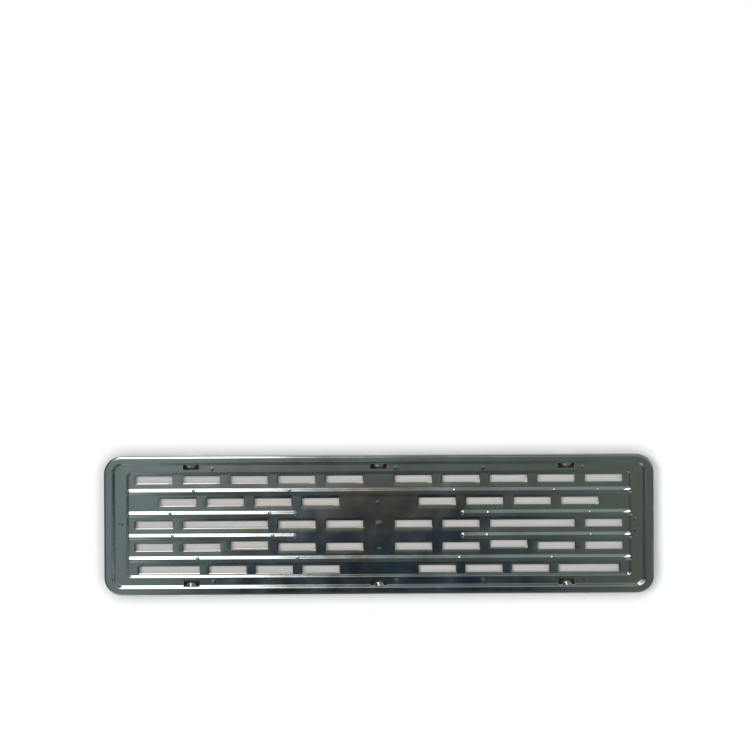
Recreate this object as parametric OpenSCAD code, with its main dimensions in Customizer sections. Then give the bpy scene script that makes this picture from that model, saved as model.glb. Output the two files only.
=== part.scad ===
/* [Number plate] */
// Width of the plate that the holder takes
plate_w = 520; // [440:1:560]
// Height of the plate
plate_h = 116; // [108:1:124]
// Thickness of the plate
plate_t = 1; // [0.8:0.1:1.2]
// Clearance beside each end of the plate
plate_side_gap = 0.5; // [0.3:0.1:4]
// Clearance above and below the plate
plate_edge_gap = 2; // [0.5:0.1:3]

/* [Sheet] */
// Thickness of the pressed sheet
sheet_t = 0.8; // [0.6:0.05:0.9]
// Width of the flat left between a bend and the next flat
land_w = 0.4; // [0.3:0.1:0.5]

/* [Rim] */
// Width of the rim at the two short sides
rim_side_w = 9.5; // [8:0.1:14]
// Width of the rim at the two long sides
rim_long_w = 8; // [7:0.1:14]
// Height of the rim's top above the band that the plate lies on
rim_h = 5; // [4.9:0.1:6]
// Radius of the four outer corners, seen from the front
outer_corner_r = 17; // [14:0.5:24]
// Bend radius between the rim's top and its outer skirt
skirt_bend_r = 3; // [1.5:0.1:3.2]

/* [Tray] */
// Corner radius of the rim's inner wall, seen from the front
tray_corner_r = 8; // [5:0.5:12]
// Bend radius between the rim's top and its inner wall
wall_bend_r = 1.6; // [1.2:0.1:1.8]
// Inside bend radius between the inner wall and the band
band_bend_r = 0.8; // [0.5:0.1:1.1]
// Width of the flat band at the two short sides
band_side_w = 13; // [10:0.5:20]
// Width of the flat band at the two long sides
band_long_w = 9.5; // [8.5:0.1:12]

/* [Panel] */
// Height of the band above the centre panel
step_h = 2.4; // [2.4:0.1:3]
// Corner radius of the step, seen from the front
step_corner_r = 3; // [2:0.5:7]
// Bend radius at the top of the step
step_top_r = 1.2; // [1:0.1:1.3]
// Inside bend radius at the foot of the step
step_foot_r = 0.8; // [0.5:0.1:0.9]

/* [Slots] */
// Length of a slot
slot_w = 36.5; // [24:0.5:44]
// Height of a slot
slot_h = 7; // [5:0.5:9]
// Gap between two slots of a row
slot_gap = 10.5; // [8:0.5:16]
// Gap between two slots of the bottom row
bottom_slot_gap = 9.5; // [8:0.5:16]
// Length of the last slot at each end of the bottom row
end_slot_w = 59.5; // [40:0.5:62]
// Width of the plain strip in the middle of the panel
plain_mid_w = 31.5; // [24:0.5:50]
// Least distance from the last slot of a row to the step
slot_margin = 6; // [5:0.5:7]
// Distance from the top and bottom rows of slots to the step
row_margin = 2.6; // [1.4:0.1:4]
// How far the tool has one slot of the fourth row higher than its neighbours
raised_by = 2; // [0:0.1:2.5]

/* [Ribs] */
// Width of a rib at its foot
rib_w = 6; // [5.6:0.1:7]
// Height of a rib above the panel
rib_h = 1; // [0.8:0.05:1.6]
// Radius of a rib's crest
rib_crest_r = 2.5; // [1.6:0.1:2.8]
// Distance from the middle of the panel to where the inner ribs end
rib_stop = 81; // [60:1:100]

/* [Plate nubs] */
// How far a nub stands out over the band
nub_r = 3.5; // [2.8:0.1:3.5]
// Clearance between the plate and the nub's lip
nub_clearance = 0.3; // [0.2:0.1:0.4]
// Distance from the middle nub to the outer ones
nub_spacing = 185; // [120:1:195]
// Width of the hole under a nub
nub_hole_w = 16; // [12:0.5:24]
// How far the hole reaches from the rim's wall into the band
nub_hole_d = 5.6; // [4:0.1:6]

/* [Centre dimple] */
// Diameter of the dimple
dimple_d = 8; // [5:0.5:9]
// Height of the dimple above the panel
dimple_h = 0.6; // [0.3:0.05:0.8]

/* [Hidden] */
// The rows of slots from the top: stagger in half pitches, gap between slots, number of
// the slot that runs on into the next, number of the raised slot, length of the last slot
slot_rows = [
    [0, slot_gap, 0, 0, slot_w],
    [1, slot_gap, 0, 0, slot_w],
    [0, slot_gap, 3, 0, slot_w],
    [0, slot_gap, 0, 3, slot_w],
    [1, bottom_slot_gap, 0, 0, end_slot_w]
];
tray_w = plate_w + 2 * plate_side_gap;
tray_h = plate_h + 2 * plate_edge_gap;
holder_w = tray_w + 2 * rim_side_w;
holder_h = tray_h + 2 * rim_long_w;
panel_w = tray_w - 2 * band_side_w;
panel_h = tray_h - 2 * band_long_w;
// Heights of the front faces above the back plane
panel_z = sheet_t;
band_z = panel_z + step_h;
rim_z = band_z + rim_h;
// Each row's height on the panel, and each rib's, halfway between two rows
row_count = len(slot_rows);
row_pitch = (panel_h - 2 * row_margin - slot_h) / (row_count - 1);
row_ys = [for (i = [0:row_count - 1]) ((row_count - 1) / 2 - i) * row_pitch];
rib_ys = [for (i = [0:row_count - 2]) (row_ys[i] + row_ys[i + 1]) / 2];
outer_rib_ys = [rib_ys[0], rib_ys[row_count - 2]];
inner_rib_ys = [for (i = [1:row_count - 3]) rib_ys[i]];
// The fillet at a rib's foot that touches both the panel and the crest's arc, and the slope
// of the rib's side there. The reach is the distance between the centres of the two arcs.
rib_half_w = rib_w / 2;
rib_reach = (rib_h * rib_h + rib_half_w * rib_half_w) / (2 * rib_h);
rib_foot_r = rib_reach - rib_crest_r;
rib_slope = atan2(rib_reach - rib_h, rib_half_w);
// Where the ribs run into the step, and where the inner ones are rounded off
rib_end = panel_w / 2 + sheet_t;
rib_round = rib_stop + rib_half_w;
// Height of a nub's lip, and how far the nub reaches back into the bend above it
lip_z = band_z + plate_t + nub_clearance;
nub_root = wall_bend_r - land_w;
sheet_color = [0.62, 0.65, 0.66];
// How far a cut runs past what it cuts
over = 1;
$fn = 64;

module rounded_rect(w, h, r) {
    square([w - 2 * r, h], center = true);
    square([w, h - 2 * r], center = true);
    for (x = [-1, 1], y = [-1, 1])
        translate([x * (w / 2 - r), y * (h / 2 - r)])
            circle(r);
}

// Section of a bend in the sheet, from angle a0 to a1 round the origin
module bend(outer_r, a0, a1) {
    far = 6 * outer_r;
    intersection() {
        difference() {
            circle(outer_r);
            circle(outer_r - sheet_t);
        }
        polygon([[0, 0], far * [cos(a0), sin(a0)], far * [cos(a1), sin(a1)]]);
    }
}

// Sweeps a section round a rounded rectangle. The section's x runs outwards from the outline.
module sweep_round(w, h, r) {
    for (turn = [0, 180]) {
        rotate(turn)
            translate([w / 2, h / 2 - r])
                rotate([90, 0, 0])
                    linear_extrude(h - 2 * r)
                        children();
        rotate(turn + 90)
            translate([h / 2, w / 2 - r])
                rotate([90, 0, 0])
                    linear_extrude(w - 2 * r)
                        children();
        rotate(turn)
            translate([w / 2 - r, h / 2 - r])
                rotate_extrude(angle = 90)
                    translate([r, 0])
                        children();
        rotate(turn + 90)
            translate([h / 2 - r, w / 2 - r])
                rotate_extrude(angle = 90)
                    translate([r, 0])
                        children();
    }
}

module skirt_section() {
    translate([-sheet_t, 0])
        square([sheet_t, rim_z - skirt_bend_r]);
    translate([-skirt_bend_r, rim_z - skirt_bend_r])
        bend(skirt_bend_r, 0, 90);
    translate([-skirt_bend_r - land_w, rim_z - sheet_t])
        square([land_w, sheet_t]);
}

module wall_section() {
    translate([wall_bend_r, rim_z - sheet_t])
        square([land_w, sheet_t]);
    translate([wall_bend_r, rim_z - wall_bend_r])
        bend(wall_bend_r, 90, 180);
    translate([0, band_z + band_bend_r])
        square([sheet_t, rim_h - wall_bend_r - band_bend_r]);
    translate([-band_bend_r, band_z + band_bend_r])
        bend(band_bend_r + sheet_t, 270, 360);
    translate([-band_bend_r - land_w, band_z - sheet_t])
        square([land_w, sheet_t]);
}

module step_section() {
    translate([step_top_r, band_z - sheet_t])
        square([land_w, sheet_t]);
    translate([step_top_r, band_z - step_top_r])
        bend(step_top_r, 90, 180);
    translate([0, panel_z + step_foot_r])
        square([sheet_t, step_h - step_top_r - step_foot_r]);
    translate([-step_foot_r, panel_z + step_foot_r])
        bend(step_foot_r + sheet_t, 270, 360);
    translate([-step_foot_r - land_w, 0])
        square([land_w, sheet_t]);
}

// Right half of a rib's section
module rib_half_section() {
    translate([0, panel_z + rib_h - rib_crest_r])
        bend(rib_crest_r, rib_slope, 90);
    translate([rib_half_w, panel_z + rib_foot_r])
        bend(rib_foot_r + sheet_t, 180 + rib_slope, 270);
}

module rim_top() {
    outer_in = skirt_bend_r + land_w;
    inner_out = wall_bend_r + land_w;
    translate([0, 0, rim_z - sheet_t])
        linear_extrude(sheet_t)
            difference() {
                rounded_rect(holder_w - 2 * outer_in, holder_h - 2 * outer_in, outer_corner_r - outer_in);
                rounded_rect(tray_w + 2 * inner_out, tray_h + 2 * inner_out, tray_corner_r + inner_out);
            }
}

module band() {
    outer_in = band_bend_r + land_w;
    inner_out = step_top_r + land_w;
    translate([0, 0, band_z - sheet_t])
        linear_extrude(sheet_t)
            difference() {
                rounded_rect(tray_w - 2 * outer_in, tray_h - 2 * outer_in, tray_corner_r - outer_in);
                rounded_rect(panel_w + 2 * inner_out, panel_h + 2 * inner_out, step_corner_r + inner_out);
            }
}

module at_nubs() {
    for (turn = [0, 180], x = [-1, 0, 1])
        rotate(turn)
            translate([x * nub_spacing, tray_h / 2, 0])
                children();
}

// A half-round nub pushed out of the inner wall over the band, before it is hollowed
module nub() {
    intersection() {
        translate([0, 0, lip_z])
            sphere(nub_r);
        translate([-nub_r, -nub_r, lip_z])
            cube([2 * nub_r, nub_r + nub_root, nub_r]);
    }
}

// What is missing at a nub: its hollow, and the hole through the band and the foot of the wall
module nub_hollow() {
    translate([0, 0, lip_z])
        sphere(nub_r - sheet_t);
    translate([-nub_hole_w / 2, -nub_hole_d, band_z - sheet_t - over])
        cube([nub_hole_w, nub_hole_d + sheet_t + over, lip_z - band_z + sheet_t + over]);
}

// Inner wall of the rim, the band that the plate lies on, and the nubs that hold the plate
module tray() {
    difference() {
        union() {
            sweep_round(tray_w, tray_h, tray_corner_r)
                wall_section();
            band();
            at_nubs()
                nub();
        }
        at_nubs()
            nub_hollow();
    }
}

// Inner end and length of each slot in the right half of a row, from the middle outwards
function row_slots(stagger, gap, joined, raised, last_w) = let (
    start = plain_mid_w / 2 + stagger * (slot_w + slot_gap) / 2,
    room = panel_w / 2 - slot_margin - start,
    count = floor((room - last_w) / (slot_w + gap)) + 1,
    joins = joined > 0 && joined < count
) [
    for (i = [1:count])
        if (!joins || i != joined + 1)
            [
                start + (i - 1) * (slot_w + gap),
                i == raised ? raised_by : 0,
                joins && i == joined ? 2 * slot_w + gap : i == count ? last_w : slot_w
            ]
];

module slot_pattern() {
    for (i = [0:row_count - 1]) {
        row = slot_rows[i];
        for (slot = row_slots(row[0], row[1], row[2], row[3], row[4]), side = [0, 1])
            mirror([side, 0])
                translate([slot[0], row_ys[i] + slot[1] - slot_h / 2])
                    square([slot[2], slot_h]);
    }
}

// Outline of the ribs on the panel
module rib_outline() {
    for (y = outer_rib_ys)
        translate([-panel_w / 2, y - rib_half_w])
            square([panel_w, 2 * rib_half_w]);
    for (y = inner_rib_ys, side = [0, 1])
        mirror([side, 0]) {
            translate([rib_round, y - rib_half_w])
                square([panel_w / 2 - rib_round, 2 * rib_half_w]);
            translate([rib_round, y])
                circle(rib_half_w);
        }
}

// A stretch of rib along x
module rib_run(from, to) {
    translate([from, 0, 0])
        rotate([90, 0, 90])
            linear_extrude(to - from) {
                rib_half_section();
                mirror([1, 0])
                    rib_half_section();
            }
}

// The outer ribs run right across the panel, and the inner ones leave its middle free
module ribs() {
    for (y = outer_rib_ys)
        translate([0, y, 0])
            rib_run(-rib_end, rib_end);
    for (y = inner_rib_ys, side = [0, 1])
        mirror([side, 0, 0])
            translate([0, y, 0]) {
                rib_run(rib_round, rib_end);
                translate([rib_round, 0, 0])
                    rotate(90)
                        rotate_extrude(angle = 180)
                            rib_half_section();
            }
}

// Opening in the step through which the hollow behind each rib runs out behind the band
module rib_mouths() {
    mouth_r = rib_crest_r - sheet_t / 2;
    mouth_z = panel_z + rib_h - rib_crest_r;
    for (y = rib_ys, side = [0, 1])
        mirror([side, 0, 0])
            translate([panel_w / 2 - step_foot_r, y, 0])
                rotate([90, 0, 90])
                    linear_extrude(step_foot_r + step_top_r) {
                        translate([-mouth_r, -over])
                            square([2 * mouth_r, mouth_z + over]);
                        translate([0, mouth_z])
                            circle(mouth_r);
                    }
}

// The step down from the band to the panel, with the ribs running into it
module step() {
    difference() {
        sweep_round(panel_w, panel_h, step_corner_r)
            step_section();
        translate([0, 0, -over])
            linear_extrude(band_z + over)
                rib_outline();
        rib_mouths();
    }
}

// A shallow round dimple pressed forward in the middle of the panel
module dimple() {
    ball_r = (dimple_d * dimple_d / 4 + dimple_h * dimple_h) / (2 * dimple_h);
    rotate_extrude()
        intersection() {
            translate([0, panel_z + dimple_h - ball_r])
                difference() {
                    circle(ball_r);
                    circle(ball_r - sheet_t);
                }
            square([dimple_d / 2, panel_z + dimple_h + over]);
        }
}

module panel() {
    foot_in = step_foot_r + land_w;
    linear_extrude(sheet_t)
        difference() {
            rounded_rect(panel_w - 2 * foot_in, panel_h - 2 * foot_in, step_corner_r - foot_in);
            rib_outline();
            slot_pattern();
            circle(d = dimple_d);
        }
    dimple();
}

// One pressed sheet, lying on its back while it is put together and then stood up
module plate_holder() {
    color(sheet_color)
        rotate([90, 0, 0]) {
            sweep_round(holder_w, holder_h, outer_corner_r)
                skirt_section();
            rim_top();
            tray();
            step();
            ribs();
            panel();
        }
}

plate_holder();
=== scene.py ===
import math

import bpy
from mathutils import Matrix, Vector


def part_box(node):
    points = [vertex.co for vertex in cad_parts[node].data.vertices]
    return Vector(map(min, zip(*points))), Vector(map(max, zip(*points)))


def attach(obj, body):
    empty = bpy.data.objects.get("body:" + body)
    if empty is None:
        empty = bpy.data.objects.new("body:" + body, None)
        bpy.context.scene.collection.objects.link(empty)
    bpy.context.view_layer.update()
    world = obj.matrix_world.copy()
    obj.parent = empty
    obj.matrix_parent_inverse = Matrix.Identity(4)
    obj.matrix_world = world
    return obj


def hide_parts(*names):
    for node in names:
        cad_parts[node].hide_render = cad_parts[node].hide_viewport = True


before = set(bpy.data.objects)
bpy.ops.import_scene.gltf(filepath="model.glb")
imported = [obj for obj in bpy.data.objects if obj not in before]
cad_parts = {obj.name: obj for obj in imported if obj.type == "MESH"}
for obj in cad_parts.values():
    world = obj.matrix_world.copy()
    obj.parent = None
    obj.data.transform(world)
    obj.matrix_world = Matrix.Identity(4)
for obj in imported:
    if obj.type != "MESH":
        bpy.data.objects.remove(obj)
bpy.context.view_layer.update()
mm = 0.001
tiny = 1e-6

# Sizes of the pressed sheet in mm. Its width, height and depth come from the frame.
pressing = {
    "sheet": {
        "thickness": 0.8,
        "rimSide": 9.5,
        "rimLong": 8.0,
        "rimRise": 5.0,
        "outerCorner": 17.0,
        "skirtBend": 1.9,
        "trayCorner": 8.0,
        "wallBend": 1.6,
        "bandSide": 13.0,
        "bandLong": 9.5,
        "stepRise": 2.4,
        "stepCorner": 3.0,
        "stepTopBend": 1.2,
        "footBend": 0.8,
        "land": 0.4,
        "leastCorner": 2.4,
        # a loop on the band: how far out from the step at the sides, the long edges and the corners
        "bandLoop": (2.8, 2.6, 2.7),
        "cornerSteps": 12,
        "bendSteps": {"foot": 5, "stepTop": 5, "wall": 6, "skirt": 9},
        "longestGap": (9.0, 7.0),  # of the grid, across and upwards
        "sharpFrom": 38,
    },
    "slots": {
        "length": 36.5,
        "height": 7.0,
        "gap": 10.5,
        "lowGap": 9.5,
        "lowEnd": 59.5,
        "plainMiddle": 31.5,
        "rowPitch": 22.2,
        "raised": 2.0,
        "rollWidth": 0.55,  # the punch draws the sheet in along the edge of a slot
        "rollDepth": 0.2,
        "burnWidth": 1.4,  # heat marks beside the ends of the slots near the middle
        "burntWithin": 130.0,
    },
    "ribs": {
        "width": 7.0,
        "height": 1.0,
        "crest": 3.2,
        "lowered": 0.9,  # the crests lie a little under the middle between the rows
        "innerEnd": 84.0,  # middle of the round end of an inner rib
        # where the crest leaves its level and climbs to the band, left and right
        "climbLeft": (246.3, 249.0),
        "climbRight": (240.2, 249.6),
        "climbLines": (-243.4, -242.3, 239.2, 240.2, 241.1, 242.0, 242.9, 243.7),
        "evenShare": 0.6,  # of the climb, the rest is rounded off
        "drawnFrom": 0.45,  # share of the crest's height at which the step is drawn out fully
        "pastEnd": 0.1,
    },
    "dimple": {
        "radius": 4.0,
        "height": 0.22,
        "linesX": (1.2, 2.3, 3.2, 4.0),
        "linesZ": (1.2, 2.3),
    },
    "nubs": {
        "spacing": 185.0,
        "halfWidth": 4.6,
        "reach": 3.5,
        "rise": 3.5,
        "open": 3.4,  # half the width of the hollow behind a nub
        "lip": 1.3,
        "holeWidth": 16.0,
        "holeDepth": 5.6,
        "clearOf": 15.0,
        "rows": 7,
        "turns": 18,
        "sweep": 104,
    },
}
sheet, slots, ribs, dimple, nubs = pressing.values()

print("measuring the holder")
low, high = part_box("plate_holder")
holderW = round((high[0] - low[0]) / mm, 3)
holderH = round((high[2] - low[2]) / mm, 3)
rimTop = round((high[1] - low[1]) / mm, 3)
bandZ = rimTop - sheet["rimRise"]
panelZ = bandZ - sheet["stepRise"]
trayW = holderW - 2 * sheet["rimSide"]
trayH = holderH - 2 * sheet["rimLong"]
panelW = trayW - 2 * sheet["bandSide"]
panelH = trayH - 2 * sheet["bandLong"]


def rowHeight(row):
    return (2 - row) * slots["rowPitch"]


def ribHeightAt(rib):
    return (1.5 - rib) * slots["rowPitch"] - ribs["lowered"]


def slotList():
    # left, right, bottom and top of each slot in the right half
    found = []
    step = slots["length"] + slots["gap"]
    start = slots["plainMiddle"] / 2
    for row in range(5):
        z = rowHeight(row)
        if row in (1, 4):
            first = start + step / 2
            pitch = slots["length"] + (slots["lowGap"] if row == 4 else slots["gap"])
            spans = [(first + i * pitch, slots["length"]) for i in range(4)]
            if row == 4:
                spans[3] = (spans[3][0], slots["lowEnd"])
        elif row == 2:
            spans = [(start + i * step, slots["length"]) for i in (0, 1, 4)]
            spans.append((start + 2 * step, 2 * slots["length"] + slots["gap"]))
        else:
            spans = [(start + i * step, slots["length"]) for i in range(5)]
        for place, (left, length) in enumerate(spans):
            lift = slots["raised"] if row == 3 and place == 2 else 0
            bottom = z + lift - slots["height"] / 2
            found.append((left, left + length, bottom, bottom + slots["height"]))
    return found


rightSlots = slotList()
allSlots = rightSlots + [(-r, -l, b, t) for l, r, b, t in rightSlots]


# Height of a rib's section over the panel, at a distance from its middle line
halfRib = ribs["width"] / 2
ribReach = (ribs["height"] ** 2 + halfRib ** 2) / (2 * ribs["height"])
ribFoot = ribReach - ribs["crest"]
ribTouch = ribs["crest"] * halfRib / ribReach


def ribSection(away):
    away = abs(away)
    if away <= ribTouch:
        return ribs["height"] - ribs["crest"] + math.sqrt(ribs["crest"] ** 2 - away ** 2)
    if away < halfRib:
        return ribFoot - math.sqrt(ribFoot ** 2 - (halfRib - away) ** 2)
    return 0.0


def smooth(value):
    value = min(max(value, 0.0), 1.0)
    return value * value * (3 - 2 * value)


def eased(value):
    # an even slope with its two ends rounded off
    value = min(max(value, 0.0), 1.0)
    return ribs["evenShare"] * value + (1 - ribs["evenShare"]) * smooth(value)


def ribShare(x, z):
    # how much of a rib's full height stands at this place of the panel
    share = 0.0
    for rib in range(4):
        away = z - ribHeightAt(rib)
        if rib in (1, 2) and abs(x) < ribs["innerEnd"]:
            away = math.hypot(ribs["innerEnd"] - abs(x), away)
        share = max(share, ribSection(away) / ribs["height"])
    return share


def ribRise(x, z):
    # Height over the panel. Near its end a rib climbs onto the band, and the foot of the
    # step is drawn in along both its sides.
    share = ribShare(x, z)
    if share <= 0.0:
        return 0.0
    start, end = ribs["climbRight"] if x > 0 else ribs["climbLeft"]
    start += (panelW / 2 - sheet["footBend"] - start) * (1 - share)
    end += (panelW / 2 + sheet["stepTopBend"] - end) * (1 - share)
    crest = share * ribs["height"]
    return crest + (sheet["stepRise"] - crest) * eased((abs(x) - start) / (end - start))


def dimpleRise(x, z):
    away = math.hypot(x, z) / dimple["radius"]
    return dimple["height"] * (1 + math.cos(math.pi * away)) / 2 if away < 1 else 0.0


def rollAt(x, z):
    deepest = 0.0
    for left, right, bottom, top in allSlots:
        dx = max(left - x, x - right, 0.0)
        dz = max(bottom - z, z - top, 0.0)
        away = math.hypot(dx, dz)
        if away < slots["rollWidth"]:
            deepest = max(deepest, (1 - away / slots["rollWidth"]) ** 2)
    return deepest


def burnAt(x, z):
    deepest = 0.0
    for left, right, bottom, top in allSlots:
        away = max(left - x, x - right, 0.0)
        if away < slots["burnWidth"] and bottom <= z <= top and abs(x) < slots["burntWithin"]:
            deepest = max(deepest, 1 - away / slots["burnWidth"])
    return deepest


def surfaceDepth(x, z):
    if abs(x) < panelW / 2 - sheet["footBend"] and abs(z) < panelH / 2 - sheet["footBend"]:
        return panelZ + ribRise(x, z)
    return bandZ


print("laying out the grid")


def gridLines(edges, extras, limit, longest):
    # lines at every edge of a slot and just outside it, then more where the gap is long
    places = set()
    for value, outward in edges:
        places.add(round(value, 4))
        places.add(round(value + outward * slots["rollWidth"], 4))
    places.update(round(value, 4) for value in extras)
    ordered = sorted(value for value in places if abs(value) <= limit + tiny)
    lines = [ordered[0]]
    for value in ordered[1:]:
        parts = max(1, math.ceil((value - lines[-1]) / longest))
        start = lines[-1]
        lines += [round(start + (value - start) * i / parts, 4) for i in range(1, parts + 1)]
    return lines


sectionPlaces = [ribTouch * share for share in (0.0, 0.2, 0.4, 0.6, 0.8, 1.0)]
sectionPlaces += [ribTouch + (halfRib - ribTouch) * share for share in (0.25, 0.5, 0.75, 1.0)]
straightX = panelW / 2 - sheet["stepCorner"]
straightZ = panelH / 2 - sheet["stepCorner"]
panelEdge = sheet["footBend"] + sheet["land"]
innerX = panelW / 2 - panelEdge
innerZ = panelH / 2 - panelEdge
nubPlaces = [side * nubs["spacing"] for side in (-1, 0, 1)]
scaleFrom = nubs["spacing"] + nubs["clearOf"]

xEdges = []
zEdges = []
for left, right, bottom, top in allSlots:
    xEdges += [(left, -1), (right, 1)]
    zEdges += [(bottom, -1), (top, 1)]
xExtras = [-straightX, straightX, -scaleFrom, scaleFrom, 0.0]
for side in (-1, 1):
    xExtras += [side * (ribs["innerEnd"] - d) for d in sectionPlaces]
for left, right, bottom, top in allSlots:
    burnEnds = (left - slots["burnWidth"], right + slots["burnWidth"])
    xExtras += [x for x in burnEnds if abs(x) < slots["burntWithin"]]
xExtras += ribs["climbLines"]
for middle in nubPlaces:
    for half in (nubs["holeWidth"] / 2, nubs["open"]):
        xExtras += [middle - half, middle + half]
zExtras = [-straightZ, straightZ, -innerZ, innerZ, 0.0]
for sign in (-1, 1):
    xExtras += [sign * line for line in dimple["linesX"]]
    zExtras += [sign * line for line in dimple["linesZ"]]
for rib in range(4):
    for away in sectionPlaces:
        zExtras += [ribHeightAt(rib) - away, ribHeightAt(rib) + away]
xLines = gridLines(xEdges, xExtras, straightX, sheet["longestGap"][0])
zLines = gridLines(zEdges, zExtras, innerZ, sheet["longestGap"][1])
sideLines = [z for z in zLines if abs(z) <= straightZ + tiny]

verts = []
faces = []
wear = []


def addVert(x, z, depth, worn=0.0):
    verts.append((x, z, depth))
    wear.append(worn)
    return len(verts) - 1


def isOpen(x, z):
    return any(l < x < r and b < z < t for l, r, b, t in allSlots)


print("panel: %d by %d lines" % (len(xLines) + 2, len(zLines)))
gridVerts = {}


def gridVert(x, z):
    key = (round(x, 3), round(z, 3))
    if key not in gridVerts:
        roll = rollAt(x, z)
        depth = panelZ + ribRise(x, z) + dimpleRise(x, z) - slots["rollDepth"] * roll
        gridVerts[key] = addVert(x, z, depth, max(roll, burnAt(x, z)))
    return gridVerts[key]


columns = [-innerX] + xLines + [innerX]
for x0, x1 in zip(columns, columns[1:]):
    atSide = abs(x0 + x1) / 2 > straightX
    for z0, z1 in zip(zLines, zLines[1:]):
        if atSide and abs(z0 + z1) / 2 > straightZ:
            continue
        if isOpen((x0 + x1) / 2, (z0 + z1) / 2):
            continue
        faces.append((gridVert(x0, z0), gridVert(x1, z0), gridVert(x1, z1), gridVert(x0, z1)))

# Stations round a loop: the side lines, then a corner, then the long side's lines, and so on
corners = sheet["cornerSteps"]


def loopPoints(halfW, halfH, radius):
    sx = halfW - radius
    sz = halfH - radius

    def alongX(x):
        if abs(x) <= scaleFrom:
            return x
        share = (abs(x) - scaleFrom) / (straightX - scaleFrom)
        return math.copysign(scaleFrom + share * (sx - scaleFrom), x)

    points = []
    turns = ((1, 1, 0), (-1, 1, 90), (-1, -1, 180), (1, -1, 270))
    for signX, signZ, angle in turns:
        if angle in (0, 180):
            places = sideLines if angle == 0 else sideLines[::-1]
            side = halfW if angle == 0 else -halfW
            points += [(side, z * sz / straightZ) for z in places]
        else:
            places = xLines[::-1] if angle == 90 else xLines
            side = halfH if angle == 90 else -halfH
            points += [(alongX(x), side) for x in places]
        for i in range(1, corners):
            a = math.radians(angle + 90 * i / corners)
            points.append((signX * sx + radius * math.cos(a), signZ * sz + radius * math.sin(a)))
    return points


def arcPoints(centreOut, centreDepth, radius, start, end, steps):
    # points of a bend in the section, as distance outwards and depth
    found = []
    for i in range(steps + 1):
        a = math.radians(start + (end - start) * i / steps)
        found.append((centreOut + radius * math.cos(a), centreDepth + radius * math.sin(a)))
    return found


foot = sheet["footBend"]
topBend = sheet["stepTopBend"]
wallBend = sheet["wallBend"]
skirtBend = sheet["skirtBend"]
bendSteps = sheet["bendSteps"]
stepPart = arcPoints(-foot, panelZ + foot, foot, -90, 0, bendSteps["foot"])
stepPart += arcPoints(topBend, bandZ - topBend, topBend, 180, 90, bendSteps["stepTop"])
stepPart.append((topBend + sheet["land"], bandZ))
wallPart = [(-nubs["holeDepth"], bandZ), (-foot - sheet["land"], bandZ)]
wallPart += arcPoints(-foot, bandZ + foot, foot, -90, 0, bendSteps["foot"])
wallPart.append((0.0, bandZ + nubs["lip"]))
wallPart += arcPoints(wallBend, rimTop - wallBend, wallBend, 180, 90, bendSteps["wall"])
wallPart.append((wallBend + sheet["land"], rimTop))
skirtPart = [(-skirtBend - sheet["land"], rimTop)]
skirtPart += arcPoints(-skirtBend, rimTop - skirtBend, skirtBend, 90, 0, bendSteps["skirt"])
skirtPart.append((0.0, 0.0))

# Each loop is half width, half height, corner radius, depth and its outline
loops = []
for out, depth in stepPart:
    loops.append((panelW / 2 + out, panelH / 2 + out, sheet["stepCorner"] + out, depth, "step"))
outSide, outLong, outCorner = sheet["bandLoop"]
bandCorner = sheet["stepCorner"] + outCorner
loops.append((panelW / 2 + outSide, panelH / 2 + outLong, bandCorner, bandZ, "band"))
for out, depth in wallPart:
    radius = max(sheet["trayCorner"] + out, sheet["leastCorner"])
    loops.append((trayW / 2 + out, trayH / 2 + out, radius, depth, "wall"))
for out, depth in skirtPart:
    loops.append((holderW / 2 + out, holderH / 2 + out, sheet["outerCorner"] + out, depth, "skirt"))

print("rings: %d loops" % len(loops))
firstLoop = loopPoints(innerX, innerZ, sheet["stepCorner"] - panelEdge)
previous = []
for x, z in firstLoop:
    key = (round(x, 3), round(z, 3))
    previous.append(gridVerts[key] if key in gridVerts else addVert(x, z, panelZ))
firstRing = list(previous)

# The four corners of the panel, as fans round the corner of the grid
count = len(firstLoop)
sideCount = len(sideLines)
longCount = len(xLines)
starts = [sideCount - 1]
for lineCount in (longCount, sideCount, longCount):
    starts.append(starts[-1] + corners - 1 + lineCount)
for place, start in enumerate(starts):
    signX, signZ = ((1, 1), (-1, 1), (-1, -1), (1, -1))[place]
    centre = gridVert(signX * straightX, signZ * straightZ)
    arc = [firstRing[(start + i) % count] for i in range(corners + 1)]
    seam = [gridVert(signX * straightX, signZ * z) for z in zLines if straightZ < z < innerZ - tiny]
    for i in range(corners):
        a, b = arc[i], arc[i + 1]
        touches = (i == corners - 1) if place in (0, 2) else (i == 0)
        if not touches:
            faces.append((centre, a, b))
        elif place in (0, 2):
            faces.append(tuple([centre, a, b] + seam[::-1]))
        else:
            faces.append(tuple([centre] + seam + [a, b]))


def overRib(x, z, loopNumber, depth):
    # where a rib runs out, the step is drawn out into a ramp up to the band
    share = smooth(ribShare(x, z) / ribs["drawnFrom"])
    if share <= 0.0 or abs(x) < abs(z):
        return x, depth
    end = (ribs["climbRight"] if x > 0 else ribs["climbLeft"])[1]
    spread = innerX + (end + ribs["pastEnd"] - innerX) * (loopNumber + 1) / len(stepPart)
    newX = math.copysign(abs(x) + (spread - abs(x)) * share, x)
    ramp = panelZ + ribRise(newX, z)
    return newX, depth + (ramp - depth) * share


def inHole(a, b, upperDepth):
    # the holes under the nubs, and the hollow behind each nub
    if abs(a[1]) < trayH / 2 - nubs["holeDepth"] - tiny or abs(a[0] - b[0]) < tiny:
        return False
    near = min(abs((a[0] + b[0]) / 2 - middle) for middle in nubPlaces)
    if upperDepth <= bandZ + nubs["lip"] + tiny and near < nubs["holeWidth"] / 2:
        return True
    return upperDepth <= rimTop - wallBend + tiny and near < nubs["open"]


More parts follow.
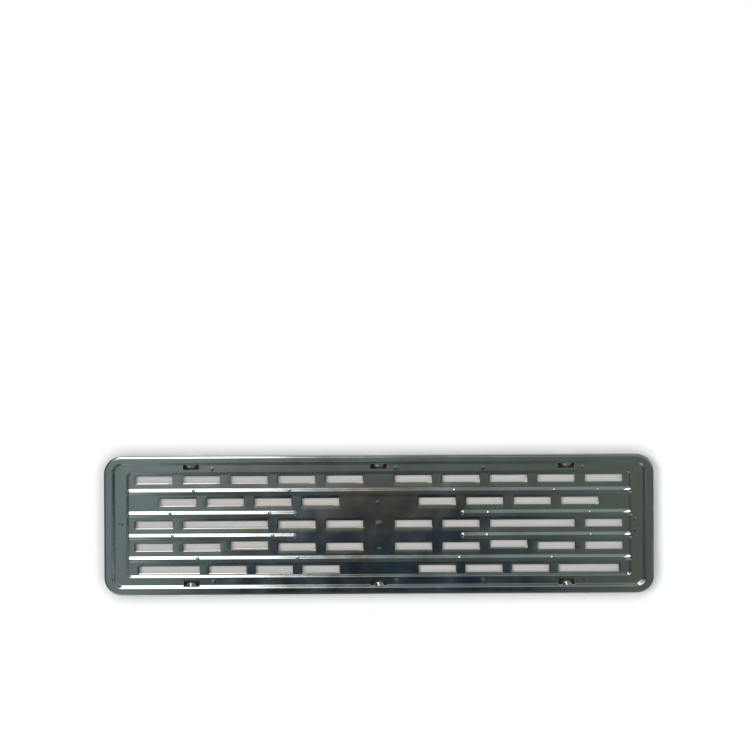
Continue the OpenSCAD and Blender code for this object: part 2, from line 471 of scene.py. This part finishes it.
lastDepth = panelZ
lastKind = "panel"
for number, (halfW, halfH, radius, depth, kind) in enumerate(loops):
    points = loopPoints(halfW, halfH, radius)
    ring = []
    for x, z in points:
        if kind == "step":
            newX, newDepth = overRib(x, z, number, depth)
            ring.append(addVert(newX, z, newDepth))
        else:
            ring.append(addVert(x, z, depth))
    onWall = kind == lastKind == "wall"
    for i in range(count):
        j = (i + 1) % count
        if onWall and inHole(points[i], points[j], max(lastDepth, depth)):
            continue
        faces.append((previous[i], ring[i], ring[j], previous[j]))
    previous = ring
    lastDepth = depth
    lastKind = kind

print("nubs")


def addNub(middle, side):
    # a half-round nub over the band, its foot run back into the wall's bend
    lip = bandZ + nubs["lip"]
    rows, turns, sweep = nubs["rows"], nubs["turns"], nubs["sweep"]
    grid = []
    for i in range(rows + 1):
        up = math.radians(90 * i / rows)
        line = []
        for j in range(turns + 1):
            turn = math.radians(-sweep + 2 * sweep * j / turns)
            x = middle + nubs["halfWidth"] * math.cos(up) * math.sin(turn)
            inward = nubs["reach"] * math.cos(up) * math.cos(turn)
            line.append(addVert(x, side * (trayH / 2 - inward), lip + nubs["rise"] * math.sin(up)))
        grid.append(line)
    for i in range(rows):
        for j in range(turns):
            quad = (grid[i][j], grid[i][j + 1], grid[i + 1][j + 1], grid[i + 1][j])
            faces.append(quad if side > 0 else quad[::-1])


for side in (-1, 1):
    for middle in nubPlaces:
        addNub(middle, side)


def standUp(points):
    # the sheet is laid out flat and stood up here: depth towards the viewer is -Y
    return [(x * mm, -depth * mm, z * mm) for x, z, depth in points]


used = sorted({number for face in faces for number in face})
newNumber = {old: new for new, old in enumerate(used)}
verts = [verts[old] for old in used]
wear = [wear[old] for old in used]
faces = [tuple(newNumber[number] for number in face) for face in faces]
print("making the sheet: %d faces" % len(faces))
mesh = bpy.data.meshes.new("pressed_sheet")
mesh.from_pydata(standUp(verts), [], faces)
mesh.attributes.new("worn", "FLOAT", "POINT").data.foreach_set("value", wear)
holder = bpy.data.objects.new("pressed_sheet", mesh)
bpy.context.scene.collection.objects.link(holder)
solid = holder.modifiers.new("sheet", "SOLIDIFY")
solid.thickness = sheet["thickness"] * mm
solid.offset = -1
solid.use_even_offset = True
solid.thickness_clamp = 0
graph = bpy.context.evaluated_depsgraph_get()
made = bpy.data.meshes.new_from_object(holder.evaluated_get(graph))
holder.modifiers.clear()
holder.data = made
for vert in made.vertices:
    vert.co.y = min(max(vert.co.y, low[1]), high[1])
made.shade_smooth()
made.set_sharp_from_angle(angle=math.radians(sheet["sharpFrom"]))

weighted = holder.modifiers.new("normals", "WEIGHTED_NORMAL")
weighted.keep_sharp = True
weighted.weight = 100

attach(holder, "root")
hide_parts("plate_holder")

print("punch marks")
punchMarks = {
    "bulge": {
        "rings": 5,
        "turns": 20,
        "sunk": 0.02,  # how far the outer ring lies under the sheet
    },
    # Little bulges that the tool's pins leave on the crests, as rib number and place along it
    "pips": {
        "radius": 1.9,
        "above": 1.2,
        "heightLeft": 0.6,
        "heightRight": 0.22,
        "along": [
            (0, (-183.0, -88.0, 75.0, 174.0, 217.0)),
            (1, (-206.0, -108.0, 108.5, 209.0)),
            (2, (-204.0, -105.0, 107.5, 210.0)),
            (3, (-179.0, -80.5, 80.0, 171.5)),
        ],
    },
    # Shallow round marks of the ejectors, as x and height over the middle
    "marks": {
        "radius": 3.0,
        "height": 0.12,
        "places": [
            (-1.0, 21.0), (0.5, -25.0), (-254.0, 1.5), (252.5, 4.0), (253.5, -7.0),
            (-164.5, 55.4), (17.0, 55.4), (103.0, 55.6), (201.0, 55.4),
            (-163.0, -55.5), (17.5, -55.5), (102.0, -55.5), (203.5, -55.3),
        ],
    },
}
bulge, pips, marks = punchMarks.values()
bumpVerts = []
bumpFaces = []


def addBump(x, z, radius, height):
    # a soft round bulge that follows the surface it stands on
    rings, turns = bulge["rings"], bulge["turns"]
    bumpVerts.append((x, z, surfaceDepth(x, z) + height))
    centre = len(bumpVerts) - 1
    last = None
    for ringNumber in range(1, rings + 1):
        share = ringNumber / rings
        ring = []
        for t in range(turns):
            a = 2 * math.pi * t / turns
            px = x + radius * share * math.cos(a)
            pz = z + radius * share * math.sin(a)
            rise = height * (1 + math.cos(math.pi * share)) / 2 - bulge["sunk"] * share
            bumpVerts.append((px, pz, surfaceDepth(px, pz) + rise))
            ring.append(len(bumpVerts) - 1)
        for t in range(turns):
            n = (t + 1) % turns
            if last is None:
                bumpFaces.append((centre, ring[t], ring[n]))
            else:
                bumpFaces.append((last[t], ring[t], ring[n], last[n]))
        last = ring


for rib, places in pips["along"]:
    for x in places:
        height = pips["heightLeft"] if x < 0 else pips["heightRight"]
        addBump(x, ribHeightAt(rib) + pips["above"], pips["radius"], height)
for x, z in marks["places"]:
    addBump(x, z, marks["radius"], marks["height"])
bumpMesh = bpy.data.meshes.new("punch_marks")
bumpMesh.from_pydata(standUp(bumpVerts), [], bumpFaces)
bumpMesh.shade_smooth()
bumps = bpy.data.objects.new("punch_marks", bumpMesh)
bpy.context.scene.collection.objects.link(bumps)
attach(bumps, "root")

print("chrome")
finish = {
    "chrome": (0.62, 0.65, 0.66),
    "stain": (0.40, 0.34, 0.27),
    "heat": (0.60, 0.46, 0.38),
    "heatMiddle": (0.0, 0.0, 0.014),
    "burnt": (0.38, 0.28, 0.15),
    # Stains and heat marks: the stretch of the distance from the middle, and where they fade
    "stainStretch": (1.0, 0.0, 1.6),
    "stainFades": (0.06, 0.24),
    "stainLeast": 0.12,
    "stainPatches": (0.42, 0.68),
    "stainStrength": 0.75,
    "stainSize": 0.05,
    "heatStretch": (1.0, 0.0, 2.0),
    "heatFades": (0.02, 0.085),
    "burntFrom": 0.35,
    "roughness": (0.1, 0.19),
    "smudgeSize": 0.02,
    "smudges": (0.35, 0.75),
    "waveSize": 0.09,
    "waveDepth": 0.00035,
    "grainSize": 0.0012,
    "grainDepth": 0.0000008,
}


def addNode(tree, kind, place, **settings):
    node = tree.nodes.new(kind)
    node.location = (place[0] * 220, -place[1] * 220)
    for name, value in settings.items():
        setattr(node, name, value)
    return node


def noise(tree, place, size, detail, coords):
    node = addNode(tree, "ShaderNodeTexNoise", place)
    node.inputs["Scale"].default_value = 1 / size
    node.inputs["Detail"].default_value = detail
    tree.links.new(coords, node.inputs["Vector"])
    return node.outputs["Fac"]


def remap(tree, place, value, fromLow, fromHigh, toLow=0.0, toHigh=1.0, smoothly=False):
    node = addNode(tree, "ShaderNodeMapRange", place)
    if smoothly:
        node.interpolation_type = "SMOOTHSTEP"
    tree.links.new(value, node.inputs["Value"])
    for name, number in zip(("From Min", "From Max"), (fromLow, fromHigh)):
        node.inputs[name].default_value = number
    for name, number in zip(("To Min", "To Max"), (toLow, toHigh)):
        node.inputs[name].default_value = number
    return node.outputs["Result"]


def multiply(tree, place, first, second):
    node = addNode(tree, "ShaderNodeMath", place, operation="MULTIPLY")
    tree.links.new(first, node.inputs[0])
    if isinstance(second, float):
        node.inputs[1].default_value = second
    else:
        tree.links.new(second, node.inputs[1])
    return node.outputs["Value"]


def mixColour(tree, place, share, first, second):
    node = addNode(tree, "ShaderNodeMix", place, data_type="RGBA")
    tree.links.new(share, node.inputs["Factor"])
    for name, value in (("A", first), ("B", second)):
        socket = [s for s in node.inputs if s.name == name and s.type == "RGBA"][0]
        if isinstance(value, tuple):
            socket.default_value = (*value, 1.0)
        else:
            tree.links.new(value, socket)
    return [s for s in node.outputs if s.type == "RGBA"][0]


def chromeMaterial():
    material = bpy.data.materials.new("chromed_steel")
    material.use_nodes = True
    tree = material.node_tree
    shader = tree.nodes["Principled BSDF"]
    shader.inputs["Metallic"].default_value = 1.0
    coords = addNode(tree, "ShaderNodeTexCoord", (-9, 0)).outputs["Object"]
    # stains lie round the middle and fade out towards the ends
    centre = addNode(tree, "ShaderNodeVectorMath", (-8, 2), operation="MULTIPLY")
    centre.inputs[1].default_value = finish["stainStretch"]
    tree.links.new(coords, centre.inputs[0])
    away = addNode(tree, "ShaderNodeVectorMath", (-7, 2), operation="LENGTH")
    tree.links.new(centre.outputs["Vector"], away.inputs[0])
    least = finish["stainLeast"]
    middle = remap(tree, (-6, 2), away.outputs["Value"], *finish["stainFades"], 1.0, least, True)
    cloudy = noise(tree, (-8, 1), finish["stainSize"], 3.0, coords)
    patches = remap(tree, (-6, 1), cloudy, *finish["stainPatches"])
    patches = multiply(tree, (-5, 2), patches, middle)
    stain = multiply(tree, (-5, 1), patches, finish["stainStrength"])
    colour = mixColour(tree, (-4, 1), stain, finish["chrome"], finish["stain"])
    # one warm patch lies a little over the middle
    offset = addNode(tree, "ShaderNodeVectorMath", (-8, 3), operation="SUBTRACT")
    offset.inputs[1].default_value = finish["heatMiddle"]
    tree.links.new(coords, offset.inputs[0])
    flat = addNode(tree, "ShaderNodeVectorMath", (-7, 3), operation="MULTIPLY")
    flat.inputs[1].default_value = finish["heatStretch"]
    tree.links.new(offset.outputs["Vector"], flat.inputs[0])
    near = addNode(tree, "ShaderNodeVectorMath", (-6, 3), operation="LENGTH")
    tree.links.new(flat.outputs["Vector"], near.inputs[0])
    warm = remap(tree, (-5, 3), near.outputs["Value"], *finish["heatFades"], 1.0, 0.0, True)
    colour = mixColour(tree, (-4, 2), warm, colour, finish["heat"])
    worn = addNode(tree, "ShaderNodeAttribute", (-8, 4), attribute_name="worn").outputs["Fac"]
    burnt = multiply(tree, (-5, 4), remap(tree, (-6, 4), worn, 0.0, finish["burntFrom"]), middle)
    colour = mixColour(tree, (-3, 1), burnt, colour, finish["burnt"])
    tree.links.new(colour, shader.inputs["Base Color"])
    smudge = noise(tree, (-8, 5), finish["smudgeSize"], 4.0, coords)
    rough = remap(tree, (-5, 5), smudge, *finish["smudges"], *finish["roughness"])
    tree.links.new(rough, shader.inputs["Roughness"])
    wave = noise(tree, (-8, 7), finish["waveSize"], 1.0, coords)
    waveBump = addNode(tree, "ShaderNodeBump", (-3, 6))
    waveBump.inputs["Distance"].default_value = finish["waveDepth"]
    tree.links.new(wave, waveBump.inputs["Height"])
    grain = noise(tree, (-8, 8), finish["grainSize"], 2.0, coords)
    grainBump = addNode(tree, "ShaderNodeBump", (-2, 6))
    grainBump.inputs["Distance"].default_value = finish["grainDepth"]
    tree.links.new(grain, grainBump.inputs["Height"])
    tree.links.new(waveBump.outputs["Normal"], grainBump.inputs["Normal"])
    tree.links.new(grainBump.outputs["Normal"], shader.inputs["Normal"])
    return material


chrome = chromeMaterial()
for piece in (holder, bumps):
    piece.data.materials.clear()
    piece.data.materials.append(chrome)

print("room")
# What the chrome mirrors, as colours seen from the holder. Left and right are the viewer's.
room = {
    "left": (0.215, 0.262, 0.258),
    "middle": (0.20, 0.23, 0.21),
    "right": (0.118, 0.135, 0.108),
    "beside": (0.10, 0.125, 0.115),
    "rear": (0.42, 0.44, 0.42),
    "dark": (0.02, 0.037, 0.062),
    "darkMiddle": (0.008, -0.19),
    "darkSize": (0.175, 0.105),
    "darkFades": (1.12, 0.72),
    # Where each part of the room gives way to the next
    "frontStarts": (0.3, -0.1),
    "middleStarts": (-0.18, -0.09),
    "rightStarts": (0.03, 0.12),
    "besideStarts": (-0.15, 0.1),
    "overheadStarts": (0.93, 0.8),
    "rearStarts": (0.55, 0.85),
    # Each area is its colour, its reach across and upwards, and the softness of its edges
    "behindDark": {
        "farLeft": ((0.08, 0.096, 0.096), (-2.0, -0.30), (-2.0, 2.0), 0.09),
        "farRight": ((0.07, 0.085, 0.09), (0.36, 2.0), (-2.0, 2.0), 0.05),
        "lowLeft": ((0.50, 0.56, 0.56), (-0.7, -0.1), (-2.0, -0.55), 0.08),
        "lowRight": ((0.17, 0.20, 0.19), (0.1, 0.7), (-2.0, -0.3), 0.07),
        "ceiling": ((0.21, 0.25, 0.245), (-0.05, 2.0), (0.01, 0.8), 0.04),
        "ceilingRight": ((0.28, 0.335, 0.325), (0.1, 2.0), (0.05, 0.8), 0.08),
    },
    "beforeDark": {
        "deepest": ((0.008, 0.011, 0.016), (-0.17, 0.16), (-2.0, -0.184), 0.004),
        "underneath": ((0.085, 0.105, 0.105), (-0.2, 0.2), (-2.0, -0.24), 0.03),
        "paleWall": ((0.38, 0.42, 0.42), (-0.2, 0.01), (0.03, 0.6), 0.03),
        "glow": ((1.2, 1.26, 1.28), (-0.36, -0.066), (0.07, 0.5), 0.02),
        "skylight": ((3.2, 3.3, 3.3), (-0.36, -0.095), (0.085, 2.0), 0.02),
        "lowLamp": ((1.1, 1.1, 1.05), (0.62, 0.92), (-0.178, -0.146), 0.006),
    },
}


def roomWorld():
    world = bpy.data.worlds.new("room")
    bpy.context.scene.world = world
    world.use_nodes = True
    tree = world.node_tree
    background = tree.nodes["Background"]
    direction = addNode(tree, "ShaderNodeTexCoord", (-9, 0)).outputs["Generated"]
    parts = addNode(tree, "ShaderNodeSeparateXYZ", (-8, 0))
    tree.links.new(direction, parts.inputs["Vector"])
    x, y, z = parts.outputs["X"], parts.outputs["Y"], parts.outputs["Z"]
    inFront = remap(tree, (-7, 6), y, *room["frontStarts"], smoothly=True)

    def addAreas(colour, areas, row):
        for name, (paint, across, upwards, soft) in areas.items():
            share = inFront
            for value, reach in ((x, across), (z, upwards)):
                for edge, side in zip(reach, (1, -1)):
                    if abs(edge) < 1:
                        start, end = edge - side * soft, edge + side * soft
                        part = remap(tree, (-7, row), value, start, end, smoothly=True)
                        share = multiply(tree, (-5, row), share, part)
                    row += 0.7
            colour = mixColour(tree, (-3, row), share, colour, paint)
            colour.node.label = name
        return colour

    toMiddle = remap(tree, (-7, 0), x, *room["middleStarts"], smoothly=True)
    colour = mixColour(tree, (-6, 0), toMiddle, room["left"], room["middle"])
    toRight = remap(tree, (-7, 1), x, *room["rightStarts"], smoothly=True)
    colour = mixColour(tree, (-5, 0), toRight, colour, room["right"])
    colour = addAreas(colour, room["behindDark"], 8)
    # the dark shape in front of the middle, open downwards
    across = addNode(tree, "ShaderNodeMath", (-7, 4), operation="SUBTRACT")
    across.inputs[1].default_value = room["darkMiddle"][0]
    tree.links.new(x, across.inputs[0])
    acrossShare = multiply(tree, (-6, 4), across.outputs["Value"], 1 / room["darkSize"][0])
    height = addNode(tree, "ShaderNodeMath", (-7, 5), operation="SUBTRACT")
    height.inputs[1].default_value = room["darkMiddle"][1]
    tree.links.new(z, height.inputs[0])
    over = addNode(tree, "ShaderNodeMath", (-6, 5), operation="MAXIMUM")
    over.inputs[1].default_value = 0.0
    tree.links.new(height.outputs["Value"], over.inputs[0])
    overShare = multiply(tree, (-5, 5), over.outputs["Value"], 1 / room["darkSize"][1])
    both = addNode(tree, "ShaderNodeCombineXYZ", (-4, 4))
    tree.links.new(acrossShare, both.inputs["X"])
    tree.links.new(overShare, both.inputs["Y"])
    far = addNode(tree, "ShaderNodeVectorMath", (-3, 4), operation="LENGTH")
    tree.links.new(both.outputs["Vector"], far.inputs[0])
    darkShare = remap(tree, (-2, 4), far.outputs["Value"], *room["darkFades"], smoothly=True)
    darkShare = multiply(tree, (-1, 4), darkShare, inFront)
    colour = mixColour(tree, (-2, 0), darkShare, colour, room["dark"])
    colour = addAreas(colour, room["beforeDark"], 24)
    beside = remap(tree, (-7, 7), y, *room["besideStarts"], smoothly=True)
    notOverhead = remap(tree, (-7, 37), z, *room["overheadStarts"], smoothly=True)
    beside = multiply(tree, (-3, 37), beside, notOverhead)
    colour = mixColour(tree, (-1, 0), beside, colour, room["beside"])
    rear = remap(tree, (-7, 38), y, *room["rearStarts"], smoothly=True)
    colour = mixColour(tree, (0, 0), rear, colour, room["rear"])
    background.location = (440, 0)
    tree.links.new(colour, background.inputs["Color"])


roomWorld()

print("table, floor and camera")
studio = {
    "reach": 4.0,
    "tableBehind": 0.003,
    "tableColour": (0.93, 0.93, 0.925),
    "tableGlow": 0.02,
    # Painted contact shadow: the table's colour darkens to this colour where the holder closes it
    # in, within this reach
    "paintedShadowColour": (0.16, 0.10, 0.115),
    "paintedShadowReach": 0.014,
    # A grey card lies behind the slots, and behind the rim a dark board of painted shade for the
    # shaded hollow seen through the holes under the nubs
    "cardBehind": 0.002,
    "cardOutside": 0.001,
    "cardColour": (0.544, 0.521, 0.513),
    "shadeBoardBehind": 0.0025,
    "shadeBoardInside": 0.002,
    "shadeBoardColour": (0.07, 0.052, 0.03),
    "floorBelow": 0.33,
    "floorColour": (0.85, 0.85, 0.84),
    # Two soft lamps, as strength, the side that the light comes from and softness in degrees
    "lamps": {
        "key_lamp": (1.5, (-0.9, -1.0, 0.12), 25.0),
        "fill_lamp": (0.55, (0.8, -1.0, 0.12), 30.0),
    },
}


def stagePlane(name, places, material):
    data = bpy.data.meshes.new(name)
    data.from_pydata(places, [], [(0, 1, 2, 3)])
    plane = bpy.data.objects.new(name, data)
    bpy.context.scene.collection.objects.link(plane)
    plane.data.materials.append(material)
    plane.visible_glossy = False
    return plane


def upright(halfW, halfH, y):
    return [(-halfW, y, -halfH), (halfW, y, -halfH), (halfW, y, halfH), (-halfW, y, halfH)]


def paleMaterial(name, colour, glow, oneSided, paintedShadow=None):
    material = bpy.data.materials.new(name)
    material.use_nodes = True
    tree = material.node_tree
    tree.nodes.clear()
    out = addNode(tree, "ShaderNodeOutputMaterial", (4, 0))
    diffuse = addNode(tree, "ShaderNodeBsdfDiffuse", (0, 0))
    diffuse.inputs["Color"].default_value = (*colour, 1.0)
    if paintedShadow:
        # painted shadow: the table's colour darkens with ambient occlusion where the holder is
        # close
        enclosedShade = addNode(tree, "ShaderNodeAmbientOcclusion", (-3, 0), samples=8)
        enclosedShade.inputs["Distance"].default_value = paintedShadow[1]
        shaded = mixColour(tree, (-1, 0), enclosedShade.outputs["AO"], paintedShadow[0], colour)
        tree.links.new(shaded, diffuse.inputs["Color"])
    emission = addNode(tree, "ShaderNodeEmission", (0, 1))
    emission.inputs["Strength"].default_value = glow
    total = addNode(tree, "ShaderNodeAddShader", (1, 0))
    tree.links.new(diffuse.outputs["BSDF"], total.inputs[0])
    tree.links.new(emission.outputs["Emission"], total.inputs[1])
    surface = total.outputs["Shader"]
    if oneSided:
        # seen only from the front, so that a view from behind shows the holder's back
        clear = addNode(tree, "ShaderNodeBsdfTransparent", (1, 2))
        facing = addNode(tree, "ShaderNodeNewGeometry", (1, 3))
        choose = addNode(tree, "ShaderNodeMixShader", (3, 0))
        tree.links.new(facing.outputs["Backfacing"], choose.inputs["Fac"])
        tree.links.new(surface, choose.inputs[1])
        tree.links.new(clear.outputs["BSDF"], choose.inputs[2])
        surface = choose.outputs["Shader"]
    tree.links.new(surface, out.inputs["Surface"])
    return material


reach = studio["reach"]
tableY = high[1] + studio["tableBehind"]
floorZ = low[2] - studio["floorBelow"]
tableCorners = ((-reach, floorZ), (reach, floorZ), (reach, reach), (-reach, reach))
stagePlane(
    "table",
    [(x, tableY, z) for x, z in tableCorners],
    paleMaterial(
        "pale_table", studio["tableColour"], studio["tableGlow"], True,
        (studio["paintedShadowColour"], studio["paintedShadowReach"]),
    ),
)
floorCorners = ((-reach, -reach), (reach, -reach), (reach, reach), (-reach, reach))
stagePlane(
    "floor",
    [(x, y, floorZ) for x, y in floorCorners],
    paleMaterial("pale_floor", studio["floorColour"], 0.0, False),
)
cardEdge = studio["cardOutside"] / mm
cardHalf = [(size / 2 + cardEdge) * mm for size in (panelW, panelH)]
stagePlane(
    "card",
    upright(*cardHalf, high[1] + studio["cardBehind"]),
    paleMaterial("grey_card", studio["cardColour"], 0.0, True),
)
shadeBoardEdge = sheet["skirtBend"] + studio["shadeBoardInside"] / mm
shadeBoardHalf = [(size / 2 - shadeBoardEdge) * mm for size in (holderW, holderH)]
# the dark board is painted shade: it darkens the holes under the nubs, where the rim's hollow lies
# in shade
stagePlane(
    "board",
    upright(*shadeBoardHalf, high[1] + studio["shadeBoardBehind"]),
    paleMaterial("painted_shade_board", studio["shadeBoardColour"], 0.0, True),
)

# The lamps cast shadows on the table, over the painted contact shadow in its colour. The chrome
# mirrors only the room.
for name, (strength, comesFrom, softness) in studio["lamps"].items():
    lampData = bpy.data.lights.new(name, "SUN")
    lampData.energy = strength
    lampData.angle = math.radians(softness)
    lamp = bpy.data.objects.new(name, lampData)
    bpy.context.scene.collection.objects.link(lamp)
    lamp.rotation_euler = Vector(comesFrom).to_track_quat("Z", "Y").to_euler()
    lamp.visible_glossy = False

# The camera stands where the photograph was taken, square to the holder and above its middle
view = {
    "lens": 54.0,
    "sensor": 36.0,
    "frame": 750.0,
    "holderMiddle": (378.9, 524.3),
    "pixelsPerMm": 1.0154,
    "roll": 0.31,
    "aimedAt": -0.004,
}
distance = view["lens"] / view["sensor"] * view["frame"] / view["pixelsPerMm"] * mm
cameraData = bpy.data.cameras.new("camera")
cameraData.lens = view["lens"]
cameraData.sensor_width = view["sensor"]
camera = bpy.data.objects.new("camera", cameraData)
bpy.context.scene.collection.objects.link(camera)
roll = math.radians(view["roll"])
right = Vector((math.cos(roll), 0.0, -math.sin(roll)))
up = Vector((math.sin(roll), 0.0, math.cos(roll)))
acrossShift = (view["holderMiddle"][0] - view["frame"] / 2) / view["pixelsPerMm"] * mm
downShift = (view["holderMiddle"][1] - view["frame"] / 2) / view["pixelsPerMm"] * mm
place = Vector((0.0, view["aimedAt"] - distance, 0.0)) - right * acrossShift + up * downShift
camera.matrix_world = Matrix((
    (right.x, up.x, 0.0, place.x),
    (right.y, up.y, -1.0, place.y),
    (right.z, up.z, 0.0, place.z),
    (0.0, 0.0, 0.0, 1.0),
))
bpy.context.scene.camera = camera
bpy.context.scene.view_settings.view_transform = "Standard"
